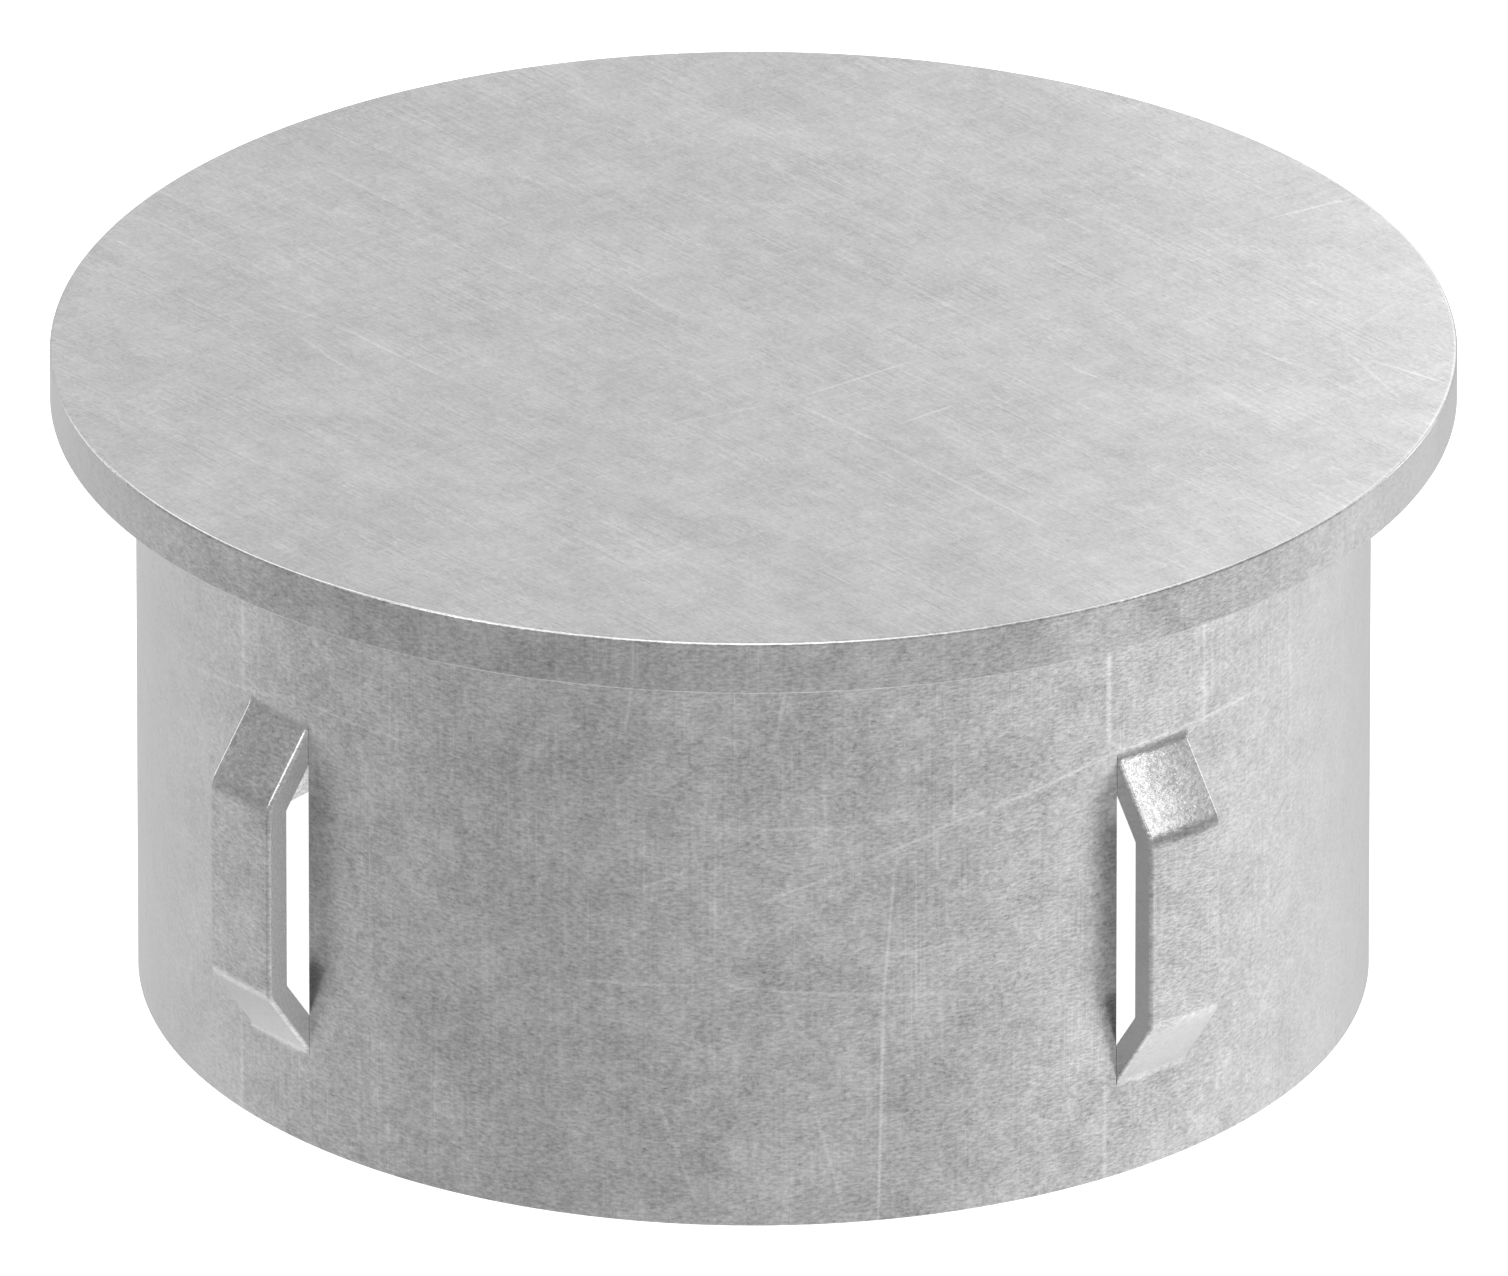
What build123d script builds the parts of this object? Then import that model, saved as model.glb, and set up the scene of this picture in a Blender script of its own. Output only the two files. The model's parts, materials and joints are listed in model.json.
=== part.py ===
"""End cap for a round steel tube, pressed from one piece of galvanised sheet.

The cap is a flat disc whose edge is folded under, and whose sheet carries on down as a round
collar. The collar pushes into the tube and the folded rim seats on the tube's cut end. Four
bridges are lanced out of the collar: each is a strip of the wall, sheared along its two sides
and pressed outwards, that stays joined at its top and bottom and springs against the bore.

Millimetres. The origin is the centre of the collar's open edge, and +Z points up the axis to
the disc. The bridges stand on +X, +Y, -X and -Y.
"""

import os
from math import cos, radians, sin

from build123d import *

# The tube that the cap closes
tube_bore = 84.9
tube_wall = 2.0

# The sheet, and the folded rim
sheet = 1.5
fold_gap = 0.5  # open height left between the two layers of the rim
rim_edge = 0.2  # chamfer on the rim's two coined corners

# The collar
overall_height = 43.0
collar_bend = 1.0  # radius outside, where the rim's lower layer turns down into the collar

# The lanced bridges
bridge_count = 4
bridge_width = 5.8
bridge_flat = 12.0  # straight stretch that bears on the bore
bridge_rise = 3.3  # from the collar's skin to the bridge's outer face
bridge_slope = 35.0  # degrees between each leg and the collar
bridge_centre = 17.75  # height of the bridges' middle above the open edge
crest_bend = 0.3  # inside radius, where a leg turns into the flat stretch
root_bend = 1.2  # outside radius, where a leg leaves the collar
grip_clearance = 0.1  # between the bridges and the bore, on the radius

# The collar takes its size from the bore, less the bridges that stand out of it
crest_radius = tube_bore / 2 - grip_clearance
collar_radius = crest_radius - bridge_rise
collar_bore_radius = collar_radius - sheet

# The rim is as wide as the tube, so that it ends flush with the tube's outside
rim_radius = tube_bore / 2 + tube_wall
rim_underside = overall_height - 2 * sheet - fold_gap
disc_underside = overall_height - sheet
fold_floor = rim_underside + sheet
fold_end_radius = rim_radius - sheet

# A leg's straight stretch makes up the rise that its two bends leave, all on the outer face
crest_outside = crest_bend + sheet
slope_angle = radians(bridge_slope)
bends_rise = (root_bend + crest_outside) * (1 - cos(slope_angle))
leg_straight = (bridge_rise - bends_rise) / sin(slope_angle)
leg_reach = (root_bend + crest_outside) * sin(slope_angle) + leg_straight * cos(slope_angle)
bridge_reach = bridge_flat / 2 + leg_reach


# One bridge, on +X: its bends and legs are drawn along the outer face and given the sheet's
# thickness, turned about the axis, so that the strip keeps the collar's curve, and sheared to
# two parallel sides
with BuildPart() as bridge:
    with BuildSketch(Plane.XZ):
        with BuildLine():
            root = JernArc(
                start=(collar_radius, bridge_centre + bridge_reach),
                tangent=(0, -1),
                radius=root_bend,
                arc_size=bridge_slope,
            )
            leg = Line(root @ 1, root @ 1 + leg_straight * (root % 1))
            crest = JernArc(leg @ 1, leg % 1, radius=crest_outside, arc_size=-bridge_slope)
            half_flat = Line(crest @ 1, (crest_radius, bridge_centre))
            mirror((root, leg, crest, half_flat), about=Plane.XZ.offset(-bridge_centre))
            offset(amount=sheet, side=Side.RIGHT)
        make_face()
    revolve(axis=Axis.Z)
    with Locations((crest_radius / 2, 0, bridge_centre)):
        Box(crest_radius + sheet, bridge_width, 2 * bridge_reach + sheet, mode=Mode.INTERSECT)


# The cap: disc, folded rim and collar are one sheet, turned from one section that stands
# midway between two bridges
with BuildPart() as end_cap:
    with BuildSketch(Plane.XZ.rotated((0, 0, 180 / bridge_count))):
        with BuildLine():
            outer_skin = FilletPolyline(
                (rim_radius, rim_underside),
                (collar_radius, rim_underside),
                (collar_radius, 0),
                radius=collar_bend,
            )
            inner_skin = FilletPolyline(
                (collar_bore_radius, 0),
                (collar_bore_radius, fold_floor),
                (fold_end_radius, fold_floor),
                radius=collar_bend + sheet,
            )
            Line(outer_skin @ 1, inner_skin @ 0)
            Polyline(
                inner_skin @ 1,
                (fold_end_radius, disc_underside),
                (0, disc_underside),
                (0, overall_height),
                (rim_radius, overall_height),
                outer_skin @ 0,
            )
        make_face()
    revolve(axis=Axis.Z)
    rim_corners = end_cap.edges().filter_by(GeomType.CIRCLE).group_by(SortBy.RADIUS)[-1]
    chamfer(rim_corners, length=rim_edge)

    # Each bridge fills the window that its strip was sheared from only at the two ends
    with PolarLocations(0, bridge_count):
        with Locations((collar_radius, 0, bridge_centre)):
            Box(4 * sheet, bridge_width, 2 * bridge_reach, mode=Mode.SUBTRACT)
    with PolarLocations(0, bridge_count):
        add(bridge.part)

end_cap.part.label = "end_cap"

os.makedirs("parts", exist_ok=True)
export_step(end_cap.part, "parts/end_cap.step")
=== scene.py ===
"""Studio scene of a steel tube end cap, pressed from galvanised sheet.

The cap is remade as one closed surface, finer than the solid that it stands for: disc, folded
rim, collar and the four lanced bridges. Metres, +Z up the cap's axis, bridges on +X, +Y, -X
and -Y, and the floor at the collar's open edge.
"""

import json
import logging
from dataclasses import dataclass, field
from enum import Enum
from math import acos, cos, pi, radians, sin, tan
from typing import Any, Mapping, Sequence

import bpy
import numpy as np
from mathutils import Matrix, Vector

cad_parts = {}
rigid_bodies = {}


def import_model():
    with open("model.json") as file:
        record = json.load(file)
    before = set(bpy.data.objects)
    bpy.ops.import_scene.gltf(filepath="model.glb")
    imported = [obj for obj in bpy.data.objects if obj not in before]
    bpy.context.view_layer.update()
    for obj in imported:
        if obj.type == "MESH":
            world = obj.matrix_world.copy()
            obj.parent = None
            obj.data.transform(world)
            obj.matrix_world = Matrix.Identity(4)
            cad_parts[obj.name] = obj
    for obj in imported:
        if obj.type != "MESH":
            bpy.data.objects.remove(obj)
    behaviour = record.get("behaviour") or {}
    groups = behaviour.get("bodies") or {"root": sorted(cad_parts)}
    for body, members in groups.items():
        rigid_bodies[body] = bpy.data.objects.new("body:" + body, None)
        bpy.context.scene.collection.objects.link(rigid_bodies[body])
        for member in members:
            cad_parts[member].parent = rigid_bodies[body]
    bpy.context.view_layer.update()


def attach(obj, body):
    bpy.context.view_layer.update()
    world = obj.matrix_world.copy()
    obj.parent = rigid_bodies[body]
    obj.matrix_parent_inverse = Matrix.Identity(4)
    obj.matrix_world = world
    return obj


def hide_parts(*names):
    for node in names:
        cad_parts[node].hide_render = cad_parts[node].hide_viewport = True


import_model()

log = logging.getLogger("end_cap")

MM = 0.001
HEM = 0.04 * MM  # narrow row beside a bend, so that its shading doesn't run into the flat
SLACK = 1e-9  # metres of rounding error when lengths are compared
WELD_CELLS = 1e6  # cells a metre: points in one cell are welded
WELD_SHIFT = 0.123  # of a cell, which keeps round sizes off the cells' borders
SMOOTH_BELOW = 28.0  # degrees between two faces
CAMERA_AZIMUTH = 50.0  # degrees, 0 looks along +Y
CAMERA_ELEVATION = 25.2
LAMP_AIM = 20.0 * MM  # height on the axis that the lamps face
WHITE = (1.0, 1.0, 1.0, 1.0)
DISC_LEVEL = 42.0  # millimetres up, above which the disc's scratches lie
WALL_FRONT = 5.0  # millimetres from the axis towards the camera, past which the wall's lie


def bearing(right: float, up: float = 0.0) -> Vector:
    """Returns the unit vector of a direction as the photographer gives it.

    Args:
        right: degrees to the right of the camera, seen from the cap, so 180 is behind it.
        up: degrees above the horizon.

    Returns:
        The direction in the cap's own axes.
    """
    turn = radians(CAMERA_AZIMUTH - 90.0 + right)
    lift = radians(up)
    return Vector((cos(turn) * cos(lift), sin(turn) * cos(lift), sin(lift)))


class Zone(Enum):
    """Which finish a face of the cap takes."""

    FLAT = 0
    WALL = 1
    SHEARED = 2


@dataclass(frozen=True)
class CapSizes:
    """Sizes of the pressed cap: the solid's, and finer corners. Metres, the slope in degrees."""

    tube_bore: float = 84.9 * MM
    tube_wall: float = 2.0 * MM
    sheet: float = 1.5 * MM
    fold_gap: float = 0.5 * MM
    overall_height: float = 43.0 * MM
    collar_bend: float = 1.0 * MM
    bridge_count: int = 4
    bridge_width: float = 5.8 * MM
    bridge_flat: float = 12.0 * MM
    bridge_rise: float = 3.3 * MM
    bridge_slope: float = 35.0
    bridge_centre: float = 17.75 * MM
    crest_bend: float = 0.3 * MM
    root_bend: float = 1.2 * MM
    grip_clearance: float = 0.1 * MM
    rim_edge: float = 0.22 * MM  # rounding of the rim's upper corner
    rim_lower_edge: float = 0.12 * MM
    open_edge: float = 0.06 * MM  # rounding of the collar's lower corners
    sheared_edge: float = 0.25 * MM  # rounding of a strip's outer corners
    shear_gap: float = 0.015 * MM  # from a strip's side to the wall that it was cut from
    shear_start: float = 0.8 * MM  # along a strip, from its root to the full gap

    @property
    def crest_radius(self) -> float:
        """Returns the radius of the bridges' outer faces."""
        return self.tube_bore / 2 - self.grip_clearance

    @property
    def collar_radius(self) -> float:
        """Returns the collar's outer radius."""
        return self.crest_radius - self.bridge_rise

    @property
    def collar_bore_radius(self) -> float:
        """Returns the collar's inner radius."""
        return self.collar_radius - self.sheet

    @property
    def rim_radius(self) -> float:
        """Returns the rim's radius, flush with the tube's outside."""
        return self.tube_bore / 2 + self.tube_wall

    @property
    def rim_underside(self) -> float:
        """Returns the height of the rim's seat on the tube's cut end."""
        return self.overall_height - 2 * self.sheet - self.fold_gap

    @property
    def leg_straight(self) -> float:
        """Returns a leg's straight length, which makes up the rise that its bends leave."""
        slope = radians(self.bridge_slope)
        bends = (self.root_bend + self.crest_bend + self.sheet) * (1 - cos(slope))
        return (self.bridge_rise - bends) / sin(slope)

    @property
    def bridge_reach(self) -> float:
        """Returns half of a bridge's height, from its middle to its root."""
        slope = radians(self.bridge_slope)
        bends = (self.root_bend + self.crest_bend + self.sheet) * sin(slope)
        return self.bridge_flat / 2 + bends + self.leg_straight * cos(slope)


@dataclass
class Patches:
    """Grids of points that are welded into one closed surface."""

    points: list[np.ndarray] = field(default_factory=list)
    faces: list[np.ndarray] = field(default_factory=list)
    zones: list[np.ndarray] = field(default_factory=list)
    count: int = 0

    def add(self, grid: np.ndarray, zone: np.ndarray | Zone, flip: bool = False,
            keep: np.ndarray | None = None) -> None:
        """Adds a grid's quads; a quad runs down a row first and then along it.

        Args:
            grid: points, rows by columns by 3.
            zone: one zone, or a zone's value for each quad.
            flip: turns the faces round.
            keep: which quads to keep, rows - 1 by columns - 1.
        """
        rows, columns = grid.shape[:2]
        index = self.count + np.arange(rows * columns).reshape(rows, columns)
        quads = np.stack(
            (index[:-1, :-1], index[1:, :-1], index[1:, 1:], index[:-1, 1:]), axis=-1
        )
        if flip:
            quads = quads[..., ::-1]
        if isinstance(zone, Zone):
            zone = np.full((rows - 1, columns - 1), zone.value)
        if keep is None:
            keep = np.ones((rows - 1, columns - 1), dtype=bool)
        self.points.append(grid.reshape(-1, 3))
        self.faces.append(quads[keep])
        self.zones.append(zone[keep])
        self.count += rows * columns

    def mesh(self, name: str) -> bpy.types.Mesh:
        """Welds points that share a place, and makes the mesh.

        A quad with one side that closes up is kept as a triangle, and one with two is left out.

        Args:
            name: the mesh's name.

        Returns:
            The closed mesh, smooth but for its sharp edges.
        """
        points = np.concatenate(self.points)
        faces = np.concatenate(self.faces)
        zones = np.concatenate(self.zones)
        cells = np.round(points * WELD_CELLS + WELD_SHIFT).astype(np.int64)
        _, first, place = np.unique(cells, axis=0, return_index=True, return_inverse=True)
        faces = place.reshape(-1)[faces]
        closed = faces == np.roll(faces, -1, axis=1)
        kept = closed.sum(axis=1) < 2
        faces, closed, zones = faces[kept], closed[kept], zones[kept]
        whole = ~closed.any(axis=1)
        triangles = faces[~whole][~closed[~whole]].reshape(-1, 3)
        made = bpy.data.meshes.new(name)
        made.from_pydata(points[first], [], faces[whole].tolist() + triangles.tolist())
        made.polygons.foreach_set(
            "material_index", np.concatenate((zones[whole], zones[~whole])).astype(np.int32)
        )
        made.polygons.foreach_set("use_smooth", np.ones(len(faces), dtype=bool))
        made.set_sharp_from_angle(angle=radians(SMOOTH_BELOW))
        made.update()
        return made


def section_line(corners: Sequence[tuple[float, float, float]], arc_rows: int = 8,
                 longest: float = 3.0 * MM) -> np.ndarray:
    """Draws a line through corners and rounds each by its own radius.

    A rounded corner is its inscribed arc: its centre lies on the corner's bisector, a radius
    away from both sides. Straight runs are split evenly, with a narrow row at both ends.

    Args:
        corners: (radius from the axis, height, corner radius); the two ends aren't rounded.
        arc_rows: rows along an arc.
        longest: longest row on a straight run.

    Returns:
        Points of the line, one (radius, height) a row.
    """
    line = []
    last = np.array(corners[0][:2])
    for n, (r, z, bend) in enumerate(corners[1:], start=1):
        corner = np.array((r, z))
        towards = (corner - last) / np.linalg.norm(corner - last)
        arc = np.empty((0, 2))
        end = corner
        if bend > 0 and n < len(corners) - 1:
            onward = np.array(corners[n + 1][:2]) - corner
            onward /= np.linalg.norm(onward)
            turn = acos(float(np.clip(towards @ onward, -1, 1)))
            inward = (onward - towards) / np.linalg.norm(onward - towards)
            centre = corner + inward * bend / cos(turn / 2)
            end = corner - towards * bend * tan(turn / 2)
            swing = np.linspace(0, turn, arc_rows + 1)[:, None]
            arc = centre + (end - centre) * np.cos(swing) + towards * bend * np.sin(swing)
        length = np.linalg.norm(end - last)
        edge = min(HEM, length / 3)
        inner = max(1, round((length - 2 * edge) / longest))
        steps = np.concatenate(([0], np.linspace(edge, length - edge, inner + 1)))
        line.append(last + towards * steps[:, None])
        line.append(arc[:-1])
        last = arc[-1] if len(arc) else end
    return np.concatenate((*line, last[None]))


@dataclass
class EndCap:
    """The pressed cap: disc, folded rim, collar and lanced bridges in one piece of sheet."""

    sizes: CapSizes = CapSizes()
    strips_across: int = 8  # columns over a bridge's face
    columns_between: int = 120  # columns from one bridge to the next
    window_rows: int = 12
    bend_rows: int = 10  # rows along each bend of a bridge
    leg_rows: int = 5
    flat_rows: int = 5  # rows from a bridge's crest to its middle
    side_rows: int = 3
    side_start: float = 0.3 * MM  # from a strip's rounded corner to the first row of its side
    foot: float = 0.5 * MM  # flat rows below this height are the sheared open edge

    def __post_init__(self) -> None:
        """Works out where the bridges' columns and side rows lie."""
        s = self.sizes
        half = s.bridge_width / 2
        edge = s.sheared_edge
        inner = np.linspace(-half + edge + HEM, half - edge - HEM, self.strips_across + 1)
        self.across = np.concatenate(
            ([-half, -half + edge / 2, -half + edge], inner, [half - edge, half - edge / 2, half])
        )
        side = np.linspace(edge + self.side_start, s.sheet - HEM, self.side_rows + 1)
        self.depths = np.concatenate(([0, edge / 2, edge, edge + HEM], side, [s.sheet]))
        self.window_top = s.bridge_centre + s.bridge_reach
        self.window_foot = s.bridge_centre - s.bridge_reach

    def turned(self, line: np.ndarray) -> np.ndarray:
        """Turns a section line about the axis.

        The columns aren't at even angles: over a bridge they lie at fixed distances from the
        plane through its middle, so that the window's sides are straight and parallel, and
        between two bridges they are spread evenly.

        Args:
            line: (radius, height) rows.

        Returns:
            Points, rows by columns by 3, whose last column meets the first.
        """
        s = self.sizes
        reach = np.clip(line[:, :1], s.collar_bore_radius, s.collar_radius)
        over = np.arcsin(self.across[None, :] / reach)
        quarter = 2 * pi / s.bridge_count
        share = np.linspace(0, 1, self.columns_between + 1)[None, 1:-1]
        gap_start = over[:, -1:]
        gap = gap_start + (quarter - 2 * gap_start) * share
        one = np.concatenate((over, gap), axis=1)
        angles = np.concatenate(
            [one + quarter * n for n in range(s.bridge_count)] + [over[:, :1] + 2 * pi], axis=1
        )
        radius = line[:, :1]
        height = np.broadcast_to(line[:, 1:], angles.shape)
        return np.stack((radius * np.cos(angles), radius * np.sin(angles), height), axis=-1)

    def row_zones(self, line: np.ndarray, columns: int) -> np.ndarray:
        """Tells flat rows, which face up or down, from rows of the wall and the open edge.

        Args:
            line: (radius, height) rows.
            columns: quads in a row.

        Returns:
            The zone's value of each quad.
        """
        step = np.abs(np.diff(line, axis=0))
        flat = step[:, 0] > step[:, 1]
        open_edge = flat & (line[1:, 1] < self.foot)
        value = np.select((open_edge, flat), (Zone.SHEARED.value, Zone.FLAT.value), Zone.WALL.value)
        return np.repeat(value[:, None], columns, axis=1)

    def bridge_line(self) -> tuple[np.ndarray, np.ndarray]:
        """Follows a bridge's outer face from its upper root to its lower one.

        The face's slope turns evenly along each bend: up to the leg's slope round a centre
        outside the root, and back round a centre under the crest. The lower half mirrors the
        upper one.

        Returns:
            (radius, height) of each row, and the slope of each row in radians.
        """
        s = self.sizes
        slope = radians(s.bridge_slope)
        crest = s.crest_bend + s.sheet
        half_flat = s.bridge_flat / 2
        swing = np.linspace(0, slope, self.bend_rows + 1)
        root = np.stack(
            (s.collar_radius + s.root_bend * (1 - np.cos(swing)),
             self.window_top - s.root_bend * np.sin(swing)), axis=-1,
        )
        straight = np.linspace(0, s.leg_straight, self.leg_rows + 1)[1:-1]
        leg_steps = np.concatenate(([HEM], straight, [s.leg_straight - HEM]))
        leg = root[-1] + leg_steps[:, None] * np.array((sin(slope), -cos(slope)))
        back = slope - swing
        crest_centre = np.array((s.crest_radius - crest, s.bridge_centre + half_flat))
        bend = crest_centre + crest * np.stack((np.cos(back), np.sin(back)), axis=-1)
        heights = np.concatenate(
            ([half_flat - HEM], np.linspace(half_flat, 0, self.flat_rows + 1)[1:])
        )
        flat = np.stack((np.full_like(heights, s.crest_radius), s.bridge_centre + heights), axis=-1)
        upper = np.concatenate((root, leg, bend, flat))
        tilt = np.concatenate((swing, np.full(len(leg), slope), back, np.zeros(len(flat))))
        lower = upper[-2::-1] * (1, -1) + (0, 2 * s.bridge_centre)
        return np.concatenate((upper, lower)), np.concatenate((tilt, -tilt[-2::-1]))

    def bridge_grid(self) -> np.ndarray:
        """Sweeps the sheared strip's section along a bridge on +X.

        A point of the strip lies a depth under the outer face, measured square to it, and a
        distance from the bridge's middle plane; its distance from the cap's axis is that of the
        face, so the strip keeps the collar's curve. Its outer corners are rounded off by
        shearing, which starts just past the root.

        Returns:
            Points, rows along the bridge by points round the section by 3.
        """
        s = self.sizes
        line, tilt = self.bridge_line()
        half = s.bridge_width / 2
        side = self.depths[1:-1]
        v = np.concatenate(
            (self.across, np.full(len(side), half), self.across[::-1], np.full(len(side), -half),
             self.across[:1])
        )
        d = np.concatenate(
            (np.zeros(len(self.across)), side, np.full(len(self.across), s.sheet), side[::-1], [0])
        )
        edge = s.sheared_edge
        beside = np.clip((np.abs(v) - (half - edge)) / edge, 0, 1)
        below = np.clip(d / edge, 0, 1)
        at_corner = (np.abs(v) >= half - edge - SLACK) & (d <= edge + SLACK)
        at_side = np.abs(v) >= half - SLACK
        swing = (beside + below) / 2 * pi / 2
        round_v = np.sign(v) * (half - edge + edge * np.sin(swing))
        round_d = edge - edge * np.cos(swing)
        run = np.concatenate(([0], np.cumsum(np.hypot(*np.diff(line, axis=0).T))))
        from_root = np.minimum(run, run[-1] - run)[:, None]
        start = np.clip(from_root / s.shear_start, 0, 1)
        start = start * start * (3 - 2 * start)
        v_now = v + np.where(at_corner, round_v - v, 0) * start
        v_now = v_now - np.sign(v_now) * s.shear_gap * start * at_side
        d_now = d + np.where(at_corner, round_d - d, 0) * start
        radius = line[:, :1] - d_now * np.cos(tilt)[:, None]
        height = line[:, 1:] - d_now * np.sin(tilt)[:, None]
        return np.stack((np.sqrt(radius**2 - v_now**2), v_now, height), axis=-1)

    def build(self) -> bpy.types.Object:
        """Lays out every surface of the cap, welds them and returns the cap's object."""
        patches = Patches()
        self._add_turned_sheet(patches)
        self._add_wall_between_bridges(patches)
        self._add_bridges(patches)
        cap = bpy.data.objects.new("cap_body", patches.mesh("cap_body"))
        bpy.context.collection.objects.link(cap)
        log.info("cap_body: %d faces", len(cap.data.polygons))
        return cap

    def dress(self, cap: bpy.types.Object, sheet: "GalvanisedSheet") -> None:
        """Gives the cap its finishes, in the order of the zones."""
        for material in (sheet.flat(), sheet.wall(), sheet.sheared()):
            cap.data.materials.append(material)

    def _add_turned_sheet(self, patches: Patches) -> None:
        """Turns the sheet above the bridges, outside and inside, and the collar's foot.

        Args:
            patches: the cap's surface so far.
        """
        s = self.sizes
        underside = s.overall_height - s.sheet
        floor = s.rim_underside + s.sheet
        fold_end = s.rim_radius - s.sheet
        collar, bore = s.collar_radius, s.collar_bore_radius
        top = [(0, s.overall_height, 0), (s.rim_radius, s.overall_height, s.rim_edge),
               (s.rim_radius, s.rim_underside, s.rim_lower_edge),
               (collar, s.rim_underside, s.collar_bend), (collar, self.window_top, 0)]
        foot = [(collar, self.window_foot, 0), (collar, 0, s.open_edge), (bore, 0, s.open_edge),
                (bore, self.window_foot, 0)]
        inside = [(bore, self.window_top, 0), (bore, floor, s.collar_bend + s.sheet),
                  (fold_end, floor, 0), (fold_end, underside, 0), (0, underside, 0)]
        for corners in (top, foot, inside):
            line = section_line(corners)
            grid = self.turned(line)
            patches.add(grid, self.row_zones(line, grid.shape[1] - 1))

    def _window_heights(self) -> np.ndarray:
        """Returns the heights of the rows down a window."""
        return np.linspace(self.window_top, self.window_foot, self.window_rows + 1)

    def _add_wall_between_bridges(self, patches: Patches) -> None:
        """Turns the collar's two skins over the windows' height, less the windows.

        Args:
            patches: the cap's surface so far.
        """
        s = self.sizes
        heights = self._window_heights()
        columns = (len(self.across) - 1 + self.columns_between) * s.bridge_count
        place = np.arange(columns) % (columns // s.bridge_count)
        solid = np.broadcast_to(place >= len(self.across) - 1, (self.window_rows, columns))
        for radius, rows in ((s.collar_radius, heights), (s.collar_bore_radius, heights[::-1])):
            skin = self.turned(np.stack((np.full_like(rows, radius), rows), axis=-1))
            patches.add(skin, Zone.WALL, keep=solid)

    def _add_bridges(self, patches: Patches) -> None:
        """Adds each window's two sheared sides and the strip that was pressed out of it.

        The strip's own sides count as sheared below its rounded corners.

        Args:
            patches: the cap's surface so far.
        """
        s = self.sizes
        half = s.bridge_width / 2
        reach = np.sqrt((s.collar_radius - self.depths) ** 2 - half**2)
        heights = self._window_heights()
        u = np.broadcast_to(reach, (len(heights), len(reach)))
        z = np.broadcast_to(heights[:, None], u.shape)
        strip = self.bridge_grid()
        face = len(self.across) - 1
        side = len(self.depths) - 1
        zone = np.full(strip.shape[1] - 1, Zone.WALL.value)
        zone[face + 2:face + side] = Zone.SHEARED.value
        zone[2 * face + side:2 * face + 2 * side - 2] = Zone.SHEARED.value
        zones = np.broadcast_to(zone, (strip.shape[0] - 1, strip.shape[1] - 1))
        for n in range(s.bridge_count):
            turn = 2 * pi * n / s.bridge_count
            spin = np.array(((cos(turn), sin(turn), 0), (-sin(turn), cos(turn), 0), (0, 0, 1)))
            for sign in (1, -1):
                wall = np.stack((u, np.full_like(u, sign * half), z), axis=-1)
                patches.add(wall @ spin, Zone.SHEARED, flip=sign > 0)
            patches.add(strip @ spin, zones)


class Wire:
    """A node's output that takes part in arithmetic by adding Math nodes."""

    def __init__(self, graph: "Graph", socket: bpy.types.NodeSocket) -> None:
        """Keeps the node tree's graph and the socket."""
        self.graph = graph
        self.socket = socket

    def _math(self, operation: str, *values: Any) -> "Wire":
        """Returns the output of a Math node on the given values."""
        return self.graph.wire(
            "ShaderNodeMath", 0, {"operation": operation}, dict(enumerate(values))
        )

    def __add__(self, other: Any) -> "Wire":
        """Returns self + other."""
        return self._math("ADD", self, other)

    def __radd__(self, other: Any) -> "Wire":
        """Returns other + self."""
        return self._math("ADD", other, self)

    def __sub__(self, other: Any) -> "Wire":
        """Returns self - other."""
        return self._math("SUBTRACT", self, other)

    def __rsub__(self, other: Any) -> "Wire":
        """Returns other - self."""
        return self._math("SUBTRACT", other, self)

    def __mul__(self, other: Any) -> "Wire":
        """Returns self * other."""
        return self._math("MULTIPLY", self, other)

    def __rmul__(self, other: Any) -> "Wire":
        """Returns other * self."""
        return self._math("MULTIPLY", other, self)

    def __abs__(self) -> "Wire":
        """Returns the absolute value."""
        return self._math("ABSOLUTE", self)

    def exp(self) -> "Wire":
        """Returns e to the power of self."""
        return self._math("EXPONENT", self)

    def ramp(self, low: float, high: float) -> "Wire":
        """Makes a smooth step.

        Args:
            low: the value at which the step is 0; it may be the larger one.
            high: the value at which the step is 1.

        Returns:
            The step at self.
        """
        return self.graph.wire(
            "ShaderNodeMapRange", "Result", {"interpolation_type": "SMOOTHSTEP"},
            {"Value": self, "From Min": low, "From Max": high},
        )


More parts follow.
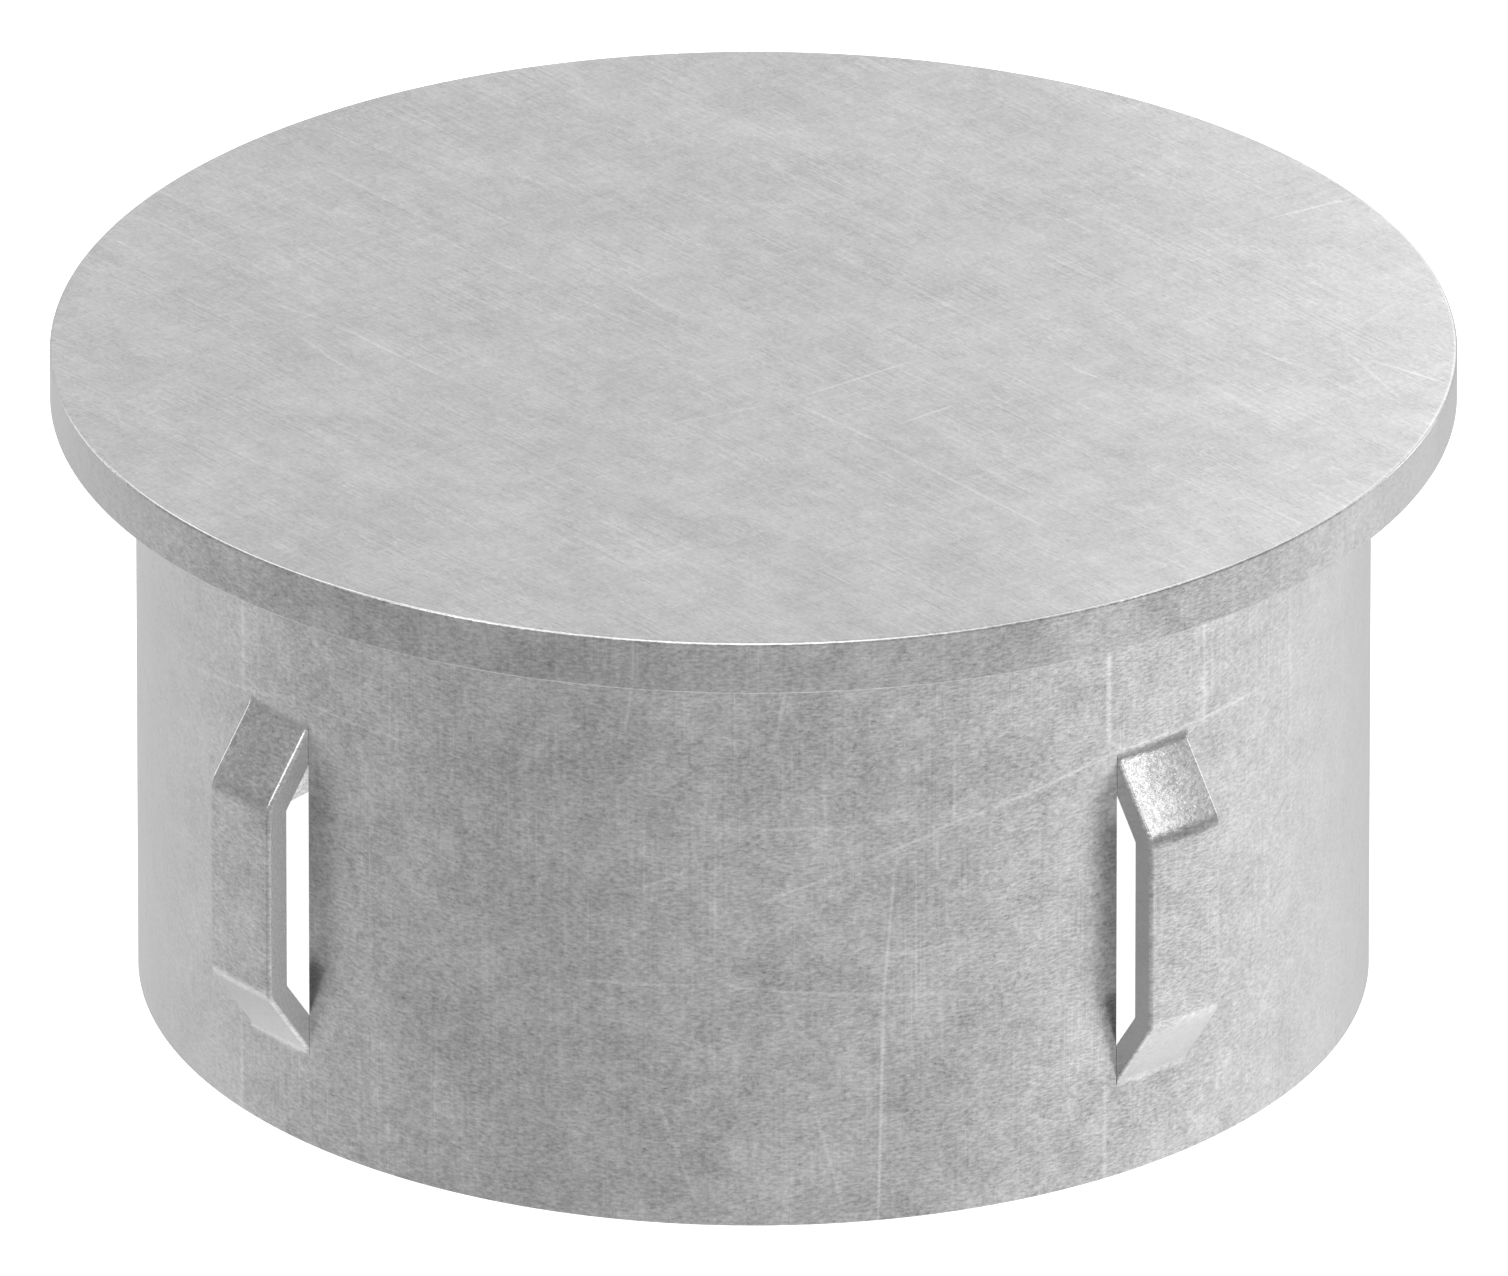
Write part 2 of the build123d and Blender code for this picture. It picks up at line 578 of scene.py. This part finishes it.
class Graph:
    """Builds one node tree."""

    def __init__(self, tree: bpy.types.NodeTree) -> None:
        """Empties the tree."""
        self.tree = tree
        tree.nodes.clear()

    def node(self, kind: str, settings: Mapping[str, Any] | None = None,
             inputs: Mapping[str | int, Any] | None = None) -> bpy.types.Node:
        """Makes a node: its settings are set first, and then its sockets.

        Args:
            kind: the node's type name.
            settings: properties of the node.
            inputs: a value, a Wire or a socket for each input, by name or by number.

        Returns:
            The node.
        """
        made = self.tree.nodes.new(kind)
        for name, value in (settings or {}).items():
            setattr(made, name, value)
        for name, value in (inputs or {}).items():
            if isinstance(value, Wire):
                value = value.socket
            if isinstance(value, bpy.types.NodeSocket):
                self.tree.links.new(value, made.inputs[name])
            else:
                made.inputs[name].default_value = value
        return made

    def wire(self, kind: str, output: str | int, settings: Mapping[str, Any] | None = None,
             inputs: Mapping[str | int, Any] | None = None) -> Wire:
        """Returns one output of a new node as a Wire."""
        return Wire(self, self.node(kind, settings, inputs).outputs[output])

    def vector(self, operation: str, *values: Any) -> Wire:
        """Makes a Vector Math node.

        Args:
            operation: the node's operation.
            values: its inputs in order.

        Returns:
            Its output: a number for a dot product, and otherwise a vector.
        """
        return self.wire(
            "ShaderNodeVectorMath", "Value" if operation == "DOT_PRODUCT" else "Vector",
            {"operation": operation}, dict(enumerate(values)),
        )

    def millimetres(self) -> Wire:
        """Returns the piece's own coordinates in millimetres."""
        place = self.wire("ShaderNodeTexCoord", "Object")
        return self.vector("MULTIPLY", place, (1 / MM,) * 3)

    def noise(self, place: Wire, size: tuple[float, float, float], detail: float = 2.0,
              roughness: float = 0.5, shift: float = 0.0, distortion: float = 0.0) -> Wire:
        """Returns a noise whose features have the given size along each axis.

        Args:
            place: coordinates in millimetres.
            size: feature size along X, Y and Z in millimetres.
            detail: finer layers on top.
            roughness: strength of the finer layers.
            shift: moves the pattern, so that two noises differ.
            distortion: how much the pattern swirls.

        Returns:
            The noise, about 0.5 on average.
        """
        scaled = self.vector(
            "MULTIPLY_ADD", place, tuple(1 / x for x in size), (shift, 1.7 * shift, 2.3 * shift)
        )
        return self.wire(
            "ShaderNodeTexNoise", 0, {"noise_dimensions": "3D"},
            {"Vector": scaled, "Scale": 1.0, "Detail": detail, "Roughness": roughness,
             "Distortion": distortion},
        )


@dataclass(frozen=True)
class Scratch:
    """A straight light scratch between two points of the cap's skin.

    Distances are millimetres, as someone at the camera's place gives them: on the disc (right of
    the axis, towards the camera), and on the wall (right of the axis, above the open edge).
    """

    start: tuple[float, float]
    end: tuple[float, float]
    strength: float
    width: float = 0.42

    def mask(self, graph: Graph, place: Wire, across: Vector, along: Vector) -> Wire:
        """Works out how deep a point lies in the scratch.

        The scratch fades with the distance from its line, and along the line towards both ends.

        Args:
            graph: the material's graph.
            place: coordinates in millimetres.
            across: the direction of the first distance.
            along: the direction of the second one.

        Returns:
            The strength at the bottom of the scratch, 0 off it.
        """
        a = across * self.start[0] + along * self.start[1]
        b = across * self.end[0] + along * self.end[1]
        run = (b - a).normalized()
        side = across * -run.dot(along) + along * run.dot(across)
        half = (b - a).length / 2
        off = graph.vector("SUBTRACT", place, tuple((a + b) / 2))
        beside = abs(graph.vector("DOT_PRODUCT", off, tuple(side)))
        past = abs(graph.vector("DOT_PRODUCT", off, tuple(run)))
        return beside.ramp(self.width / 2, 0.0) * past.ramp(half, 0.5 * half) * self.strength


@dataclass(frozen=True)
class GalvanisedSheet:
    """Rolled, galvanised sheet: cloudy zinc, fine rolling grain and handling scratches."""

    tone: float = 0.63
    disc_contrast: float = 0.7  # of the marks on the disc, next to those on the wall
    disc_relief: float = 0.3  # of the grain on the disc, next to that on the wall
    rim_painted_shade: float = 0.87  # painted shade: the tone of the rim's edge, next to the collar's
    rim_painted_shade_foot: tuple[float, float] = (39.3, 39.6)  # millimetres up, where that painted shade sets in
    sheared_tone: float = 0.70
    cloud: float = 0.42  # broad soft patches
    zinc: float = 1.18  # patches of zinc, down to speckle
    grain: float = 1.3  # fine marks of the rolls
    streak: float = 0.7  # rolling and handling streaks
    curl: float = 0.13  # thin curved marks
    dot: float = 0.17  # dark pinholes
    scratch: float = 0.16  # thin long scratches
    disc_grain: float = 0.7  # of the wall's grain
    crossing_streak: float = 0.4  # of a streak, for those across the disc's rolling
    upright_streak: float = 0.35  # of a streak, for those up the wall
    group_noise: tuple[float, float] = (0.42, 0.62)  # from bare places to well-marked ones
    dot_noise: tuple[float, float] = (0.66, 0.74)  # from none to a full pinhole
    scratch_noise: tuple[float, float] = (0.64, 0.74)  # from none to a full scratch
    curl_noise: float = 0.028  # half of a curved mark's width
    roughness: float = 0.28
    roughness_spread: float = 0.05
    coat_roughness: float = 0.25
    coat_ior: float = 1.7
    gloss: float = 0.65  # how much of the wall's texture a grazing view hides
    gloss_view: tuple[float, float] = (0.3, 0.8)  # from square to grazing, where that sets in
    bump_depth: float = 0.028  # millimetres

    def flat(self) -> bpy.types.Material:
        """Makes the finish of the disc and of the rim's underside, rolled along X.

        The tone is the sheet's, times 1 plus the sum of its marks, each about 0 on average.

        Returns:
            The material.
        """
        graph, material = self._start("galvanised_flat")
        place = graph.millimetres()
        cloud = graph.noise(place, (9.0, 7.0, 8.0), detail=1, shift=21)
        zinc = graph.noise(place, (2.6, 1.8, 3.0), detail=5, roughness=0.9, distortion=0.3)
        grain = graph.noise(place, (0.42, 0.20, 0.5), detail=2, roughness=0.7)
        streaks = graph.noise(place, (11.0, 0.20, 1.0), detail=3, roughness=0.7, shift=3) - 0.5
        crossing = graph.noise(place, (0.25, 9.0, 1.0), detail=2, shift=5) - 0.5
        groups = graph.noise(place, (6.0, 3.5, 3.0), shift=13).ramp(*self.group_noise)
        light = (
            self.cloud * (cloud - 0.5)
            + self.zinc * (zinc - 0.5)
            + self.disc_grain * self.grain * (grain - 0.5)
            + self.streak * streaks * (0.5 + groups)
            + self.crossing_streak * self.streak * crossing
            + self._curls(graph, place, (2.6, 2.2, 2.0), groups)
            + self._scratches(graph, place, (13.0, 0.13, 1.0), groups)
            + self._lines(graph, place, DISC_SCRATCHES, bearing(0), bearing(0, 90),
                          DISC_LEVEL)
        )
        tone = self.tone * (1 + self.disc_contrast * light)
        return self._finish(graph, material, tone, zinc, self.disc_relief * grain)

    def wall(self) -> bpy.types.Material:
        """Makes the finish of the rim's edge, the collar and the bridges.

        The tone is the disc's, times 1 plus the sum of its marks, with painted shade that darkens
        the rim's edge.

        Returns:
            The material.
        """
        graph, material = self._start("galvanised_wall")
        place = graph.millimetres()
        cloud = graph.noise(place, (7.0, 7.0, 6.0), detail=1, shift=21)
        zinc = graph.noise(place, (2.4, 2.4, 2.2), detail=5, roughness=0.9, distortion=0.3)
        grain = graph.noise(place, (0.42, 0.42, 0.17), detail=3, roughness=0.6)
        upright = graph.noise(place, (0.22, 0.22, 9.0), detail=2, shift=3) - 0.5
        groups = graph.noise(place, (3.5, 3.5, 6.0), shift=13).ramp(*self.group_noise)
        dots = graph.noise(place, (0.22, 0.22, 0.22), detail=0, shift=31).ramp(*self.dot_noise)
        light = (
            self.cloud * (cloud - 0.5)
            + self.zinc * (zinc - 0.5)
            + self.grain * (grain - 0.5)
            + self.upright_streak * self.streak * upright * (0.5 + groups)
            - self.dot * dots * (1 - groups)
            + self._curls(graph, place, (1.5, 1.5, 1.2), groups)
            + self._scratches(graph, place, (0.13, 0.13, 11.0), groups)
            + self._lines(graph, place, WALL_SCRATCHES, bearing(0, 90), bearing(0),
                          WALL_FRONT)
        )
        height = graph.vector("DOT_PRODUCT", place, (0, 0, 1))
        # painted shade: the rim's edge is made darker than the collar above this height
        rim = height.ramp(*self.rim_painted_shade_foot)
        ground = self.tone * (1 - (1 - self.rim_painted_shade) * rim)
        return self._finish(graph, material, ground * (1 + light), zinc, grain, ground)

    def sheared(self) -> bpy.types.Material:
        """Makes the finish of the faces that the shears left: smoother, with fine drag.

        Returns:
            The material.
        """
        graph, material = self._start("galvanised_sheared")
        place = graph.millimetres()
        grain = graph.noise(place, (0.12, 0.12, 0.3), detail=3, roughness=0.6)
        drag = graph.noise(place, (0.9, 0.9, 0.12), detail=2, shift=3)
        tone = self.sheared_tone * (1 + 0.25 * (grain - 0.5) + 0.2 * (drag - 0.5))
        return self._finish(graph, material, tone, drag, grain)

    def _start(self, name: str) -> tuple[Graph, bpy.types.Material]:
        """Returns an empty node tree in a new material."""
        material = bpy.data.materials.new(name)
        material.use_nodes = True
        return Graph(material.node_tree), material

    def _curls(self, graph: Graph, place: Wire, size: tuple[float, float, float],
               groups: Wire) -> Wire:
        """Draws thin curved marks along the lines where a soft noise is at its average.

        Args:
            graph: the material's graph.
            place: coordinates in millimetres.
            size: feature size of the noise in millimetres.
            groups: 1 in well-marked places, 0 in bare ones.

        Returns:
            The marks' lightness.
        """
        wave = graph.noise(place, size, detail=2, roughness=0.6, shift=41)
        return self.curl * abs(wave - 0.5).ramp(self.curl_noise, 0.0) * groups

    def _scratches(self, graph: Graph, place: Wire, size: tuple[float, float, float],
                   groups: Wire) -> Wire:
        """Draws thin long scratches where a stretched noise is high.

        Args:
            graph: the material's graph.
            place: coordinates in millimetres.
            size: feature size of the noise in millimetres, long along the scratches.
            groups: 1 in well-marked places, 0 in bare ones.

        Returns:
            The scratches' lightness.
        """
        wave = graph.noise(place, size, detail=1, shift=8)
        return self.scratch * wave.ramp(*self.scratch_noise) * groups

    def _lines(self, graph: Graph, place: Wire, scratches: Sequence[Scratch], along: Vector,
               facing: Vector, depth: float) -> Wire:
        """Adds up the placed scratches of one side of the cap.

        Args:
            graph: the material's graph.
            place: coordinates in millimetres.
            scratches: the scratches, whose first distance is to the right of the axis.
            along: the direction of their second distance.
            facing: the direction that the side faces.
            depth: how far out that way a point of the side lies at least.

        Returns:
            The sum of their masks.
        """
        total: Any = 0.0
        for scratch in scratches:
            total = scratch.mask(graph, place, bearing(90), along) + total
        out = graph.vector("DOT_PRODUCT", place, tuple(facing))
        return total * out.ramp(depth, depth + 0.5)

    def _finish(self, graph: Graph, material: bpy.types.Material, tone: Wire, zinc: Wire,
                relief: Wire, ground: Wire | None = None) -> bpy.types.Material:
        """Wires a metal under a thin clear film to the material's output.

        Args:
            graph: the material's graph.
            material: the material.
            tone: the metal's brightness.
            zinc: cloudy zinc, which is rougher where it is lighter.
            relief: fine height of the grain.
            ground: the even tone whose gloss covers the texture at a grazing view, if any; on the
                wall it holds the rim's painted shade.

        Returns:
            The material.
        """
        film = {"Metallic": 1.0, "Coat Weight": 1.0, "Coat Roughness": self.coat_roughness,
                "Coat IOR": self.coat_ior}
        bump = graph.wire(
            "ShaderNodeBump", "Normal", None,
            {"Strength": 1.0, "Distance": self.bump_depth * MM, "Height": relief},
        )
        rough = self.roughness + self.roughness_spread * (zinc - 0.5)
        surface = graph.node(
            "ShaderNodeBsdfPrincipled", None,
            {"Base Color": tone, "Roughness": rough, "Normal": bump} | film,
        )
        if ground is not None:
            even = graph.node(
                "ShaderNodeBsdfPrincipled", None,
                {"Base Color": ground, "Roughness": self.roughness} | film,
            )
            grazing = graph.wire("ShaderNodeLayerWeight", "Facing", None, {"Blend": 0.5})
            surface = graph.node(
                "ShaderNodeMixShader", None,
                {0: self.gloss * grazing.ramp(*self.gloss_view), 1: surface.outputs[0],
                 2: even.outputs[0]},
            )
        graph.node("ShaderNodeOutputMaterial", None, {"Surface": surface.outputs[0]})
        log.info("%s: %d nodes", material.name, len(graph.tree.nodes))
        return material


DISC_SCRATCHES = (
    Scratch((-29.0, -28.5), (-18.7, -16.5), 0.22),
    Scratch((-35.0, -21.0), (-32.5, -18.5), 0.22),
    Scratch((-32.0, -12.6), (-30.4, -10.0), 0.21),
    Scratch((-31.0, -6.5), (-27.0, -3.5), 0.22),
    Scratch((-27.2, -3.8), (-18.7, 6.0), 0.27),
    Scratch((-29.3, -2.1), (-24.2, 5.9), 0.22),
    Scratch((-34.6, -3.6), (-32.0, -5.4), 0.16),
    Scratch((-18.0, -14.0), (-12.0, -8.0), 0.22),
    Scratch((-12.2, -8.0), (-7.0, -2.5), 0.22),
    Scratch((-8.6, -13.6), (-6.5, -10.6), 0.27),
    Scratch((-8.2, -9.0), (-5.3, -5.0), 0.27),
    Scratch((-1.3, -10.6), (0.9, -8.6), 0.22),
    Scratch((-7.0, 12.8), (2.1, 8.6), 0.18),
    Scratch((2.5, 8.3), (10.8, 2.0), 0.40),
    Scratch((2.3, 8.6), (8.5, 15.2), 0.22, 0.60),
    Scratch((7.5, 14.2), (19.5, 28.8), 0.20, 0.45),
    Scratch((9.1, 12.0), (13.0, 8.9), 0.36),
    Scratch((9.1, 3.8), (13.0, 7.8), 0.22),
    Scratch((6.7, 22.8), (16.2, 28.8), 0.18),
    Scratch((19.8, 3.4), (21.9, 5.2), 0.30, 0.40),
    Scratch((18.7, 6.8), (27.2, 16.8), 0.16),
    Scratch((31.2, 0.4), (34.7, 3.7), 0.22),
    Scratch((32.2, -18.6), (38.3, -22.1), 0.35),
    Scratch((37.3, 0.8), (41.1, 8.9), 0.22),
    Scratch((37.1, -0.7), (40.9, -6.7), 0.18),
    Scratch((39.0, 2.4), (44.3, 6.4), 0.35, 0.44),
)
WALL_SCRATCHES = (
    Scratch((8.9, 25.0), (8.0, 13.5), 0.30, 0.36),
    Scratch((8.2, 16.5), (7.8, -2.0), 0.38, 0.36),
    Scratch((-0.5, 22.2), (7.5, 25.1), 0.19),
    Scratch((5.5, 24.4), (14.5, 27.8), 0.19),
    Scratch((12.5, 27.0), (22.8, 29.6), 0.30),
    Scratch((21.5, 29.5), (33.5, 29.7), 0.30),
    Scratch((-9.8, 22.6), (-6.2, 23.5), 0.19),
    Scratch((-7.2, 23.1), (-4.2, 24.6), 0.19),
    Scratch((-9.5, 27.6), (9.0, 27.5), 0.11),
    Scratch((8.0, 18.4), (14.0, 18.8), 0.19),
    Scratch((-12.6, 16.4), (-1.5, 16.7), 0.19),
    Scratch((-3.0, 16.8), (14.0, 15.1), 0.23),
    Scratch((-11.8, 34.0), (-11.8, 15.0), 0.11),
    Scratch((-2.4, 32.0), (-2.4, 14.0), 0.11),
    Scratch((4.3, 33.5), (4.6, 26.0), 0.19),
    Scratch((12.6, 32.0), (12.6, 27.0), 0.19),
    Scratch((11.5, 26.5), (11.5, 23.5), 0.27),
    Scratch((-7.6, 37.5), (-8.1, 33.5), 0.23),
    Scratch((2.1, 38.0), (1.4, 33.5), 0.27),
    Scratch((22.3, 38.5), (22.3, 29.0), 0.38, 0.56),
    Scratch((28.3, 39.0), (28.3, 28.0), 0.23),
    Scratch((33.8, 36.0), (33.8, 19.0), 0.15),
    Scratch((22.1, 8.0), (22.1, -2.0), 0.23),
    Scratch((-6.4, 9.6), (-3.2, 0.5), 0.18),
    Scratch((3.4, 9.6), (5.9, 0.2), 0.18),
    Scratch((-37.0, 27.8), (-28.0, 30.9), 0.19),
    Scratch((-29.5, 30.8), (-21.0, 30.5), 0.19),
    Scratch((-32.1, 38.0), (-32.1, 28.5), 0.27, 0.44),
    Scratch((-32.3, 8.0), (-32.3, -2.0), 0.19),
    Scratch((-7.4, 21.9), (-3.2, 24.1), 0.14),
)


@dataclass(frozen=True)
class Glow:
    """A soft patch of the surroundings, bright, or dark where its gain is negative."""

    right: float  # degrees to the right of the camera
    up: float  # degrees above the horizon
    gain: float  # brightness that its middle adds
    spread: float  # degrees from there to about a third of that


SURROUNDINGS = (
    Glow(180, 30, 0.385, 34),
    Glow(0, 90, 0.30, 32),
    Glow(0, 60, 3.0, 24),
    Glow(-130, 38, 1.8, 11),
    Glow(-104, 54, 2.4, 12),
    Glow(104, 54, 2.2, 12),
    Glow(128, 36, 1.5, 10),
    Glow(-128, 4, 2.5, 9),
    Glow(-99, 23, -0.19, 15),
    Glow(-103, -2, -0.16, 12),
    Glow(80, -13, -0.50, 11),
    Glow(80, 8, -0.24, 13),
    Glow(0, 20, -0.28, 22),
    Glow(76, -36, 0.72, 29),
    Glow(125, -26, 0.54, 34),
    Glow(146, -56, 0.15, 18),
    Glow(12, -26, 0.20, 28),
    Glow(-145, -24, 0.27, 36),
    Glow(-120, -41, 0.48, 12),
    Glow(-158, -46, -0.17, 14),
    Glow(-90, -26, 0.09, 30),
    Glow(0, -90, 0.95, 34),
)


@dataclass(frozen=True)
class Softbox:
    """A round soft lamp that faces the cap and is hidden from the camera."""

    name: str
    right: float  # degrees to the right of the camera
    up: float  # degrees above the horizon
    away: float  # metres from the cap's middle
    width: float  # metres across
    power: float  # watts

    def hang(self) -> None:
        """Makes the lamp and turns it to the cap."""
        lamp = bpy.data.lights.new(self.name, type="AREA")
        lamp.shape = "DISK"
        lamp.size = self.width
        lamp.energy = self.power
        holder = bpy.data.objects.new(self.name, lamp)
        bpy.context.collection.objects.link(holder)
        direction = bearing(self.right, self.up)
        holder.location = direction * self.away + Vector((0, 0, LAMP_AIM))
        holder.rotation_mode = "QUATERNION"
        holder.rotation_quaternion = direction.to_track_quat("Z", "Y")
        holder.visible_camera = False
        log.info("%s: %.3f W", self.name, self.power)


SOFTBOXES = (
    Softbox("key_softbox", 68, 31, 0.5, 0.09, 0.105),
    Softbox("back_softbox", 155, 27, 0.45, 0.28, 0.14),
    Softbox("left_edge_softbox", -50, 34, 0.6, 0.26, 0.36),
    Softbox("right_edge_softbox", 122, 9, 0.6, 0.20, 0.2),
)


@dataclass(frozen=True)
class Studio:
    """White table, soft surroundings and lamps."""

    table_rings: tuple[float, ...] = (0.0, 0.1, 0.3, 1.0, 2.5)  # radii in metres
    table_columns: int = 96
    table_drop: float = 0.02 * MM  # below the open edge
    brightness: float = 0.8  # of the surroundings as a whole
    ambient: float = 0.52  # between the glows
    paint: float = 0.9
    shadow_share: float = 0.10  # how much of the table's white depends on the light

    def floor(self) -> None:
        """Lays the table, a round white sheet under the open edge."""
        turn = np.linspace(0, 2 * pi, self.table_columns + 1)
        radius = np.array(self.table_rings)[:, None]
        height = np.full((len(radius), len(turn)), -self.table_drop)
        patches = Patches()
        patches.add(np.stack((radius * np.cos(turn), radius * np.sin(turn), height), axis=-1),
                    Zone.FLAT)
        table = bpy.data.objects.new("studio_table", patches.mesh("studio_table"))
        bpy.context.collection.objects.link(table)
        table.data.materials.append(self._table_paint())
        table.visible_glossy = False
        log.info("studio_table: %d faces", len(table.data.polygons))

    def _table_paint(self) -> bpy.types.Material:
        """Returns the table's paint: white to the camera, with the cap's soft shadow."""
        material = bpy.data.materials.new("table_white")
        material.use_nodes = True
        graph = Graph(material.node_tree)
        camera = graph.wire("ShaderNodeLightPath", "Is Camera Ray")
        glow = graph.node(
            "ShaderNodeEmission", None, {"Strength": camera * (1 - self.shadow_share)}
        )
        paint = graph.node("ShaderNodeBsdfDiffuse", None, {"Color": (self.paint,) * 3 + (1.0,)})
        both = graph.node(
            "ShaderNodeAddShader", None, {0: glow.outputs[0], 1: paint.outputs[0]}
        )
        clear = graph.node("ShaderNodeBsdfTransparent")
        back = graph.wire("ShaderNodeNewGeometry", "Backfacing")
        seen = graph.node(
            "ShaderNodeMixShader", None, {0: back, 1: both.outputs[0], 2: clear.outputs[0]}
        )
        graph.node("ShaderNodeOutputMaterial", None, {"Surface": seen.outputs[0]})
        material.cycles.emission_sampling = "NONE"
        return material

    def world(self) -> None:
        """Surrounds the table: white to the camera, and soft graded light to all else.

        A glow's brightness falls off as a bell curve with the angle from its middle.
        """
        world = bpy.data.worlds.new("studio")
        bpy.context.scene.world = world
        world.use_nodes = True
        graph = Graph(world.node_tree)
        view = graph.wire("ShaderNodeTexCoord", "Generated")
        level: Any = self.ambient
        for glow in SURROUNDINGS:
            sharp = 1 / (1 - cos(radians(glow.spread)))
            near = graph.vector("DOT_PRODUCT", view, tuple(bearing(glow.right, glow.up)))
            level = level + glow.gain * (sharp * (near - 1)).exp()
        camera = graph.wire("ShaderNodeLightPath", "Is Camera Ray")
        level = self.brightness * level
        strength = level + (1 - level) * camera
        back = graph.node("ShaderNodeBackground", None, {"Color": WHITE, "Strength": strength})
        graph.node("ShaderNodeOutputWorld", None, {"Surface": back.outputs[0]})
        log.info("studio: %d glows", len(SURROUNDINGS))

    def light(self) -> None:
        """Sets up the table, the surroundings and the lamps."""
        self.floor()
        self.world()
        for softbox in SOFTBOXES:
            softbox.hang()


@dataclass(frozen=True)
class LongCamera:
    """A camera far off behind a long lens, so that the picture is almost parallel."""

    lens: float = 1400.0  # millimetres
    sensor: float = 36.0  # millimetres
    frame_width: float = 95.43 * MM  # at the cap's axis
    aim_height: float = 22.47 * MM
    aim_right: float = 0.03 * MM

    def place(self) -> None:
        """Stands the camera at the photograph's angle and makes it the scene's camera.

        Its distance is that at which the frame's width spans the sensor through the lens.
        """
        data = bpy.data.cameras.new("long_camera")
        data.lens = self.lens
        data.sensor_width = self.sensor
        away = self.frame_width * self.lens / self.sensor
        data.clip_start = 0.1
        data.clip_end = 3 * away
        camera = bpy.data.objects.new("long_camera", data)
        bpy.context.collection.objects.link(camera)
        direction = bearing(0, CAMERA_ELEVATION)
        camera.location = (
            direction * away + bearing(90) * self.aim_right + Vector((0, 0, self.aim_height))
        )
        camera.rotation_mode = "QUATERNION"
        camera.rotation_quaternion = direction.to_track_quat("Z", "Y")
        bpy.context.scene.camera = camera
        log.info("long_camera: %.2f m away", away)


def main() -> None:
    """Builds the scene in order and notes the sizes."""
    logging.basicConfig(level=logging.INFO, format="%(name)s: %(message)s")
    bpy.context.scene.view_settings.view_transform = "Standard"
    LongCamera().place()
    Studio().light()
    end_cap = EndCap()
    cap = end_cap.build()
    end_cap.dress(cap, GalvanisedSheet())
    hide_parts("end_cap")
    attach(cap, "root")


if __name__ == "__main__":
    main()
